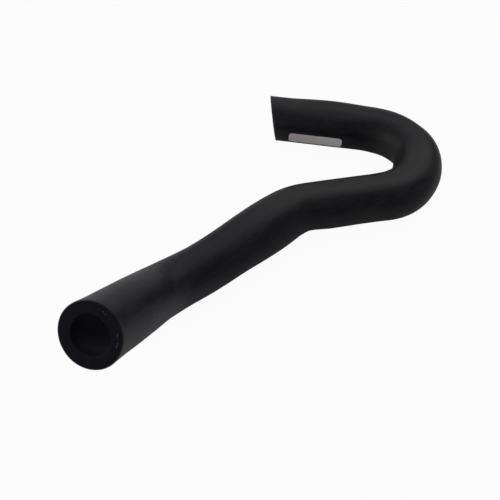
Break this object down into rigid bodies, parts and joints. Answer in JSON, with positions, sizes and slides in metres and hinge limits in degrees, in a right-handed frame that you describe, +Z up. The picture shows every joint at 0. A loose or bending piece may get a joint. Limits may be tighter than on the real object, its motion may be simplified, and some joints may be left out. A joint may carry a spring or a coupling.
{
  "type": "heater hose",
  "caption": "Moulded black rubber heater hose: a hook at one end, a gentle bend in the middle and a short leg that climbs at the other end, cut ends, blank label.",
  "frame": {"origin": "middle of the underside of the hose's box, on the surface that it lies on", "axes": "+Z up off the surface; the far leg, which carries the label, points along -X at its cut end; the near leg climbs towards -Y and +Z; the hook opens towards -X"},
  "size_m": [0.1534, 0.1968, 0.0634],
  "materials": {
    "rubber": "matte moulded black, faint cloth wrap marks",
    "paper": "matte pale beige-grey sticker, blank"
  },
  "bodies": {
    "root": {"hose": "rubber", "label": "paper"}
  },
  "joints": []
}
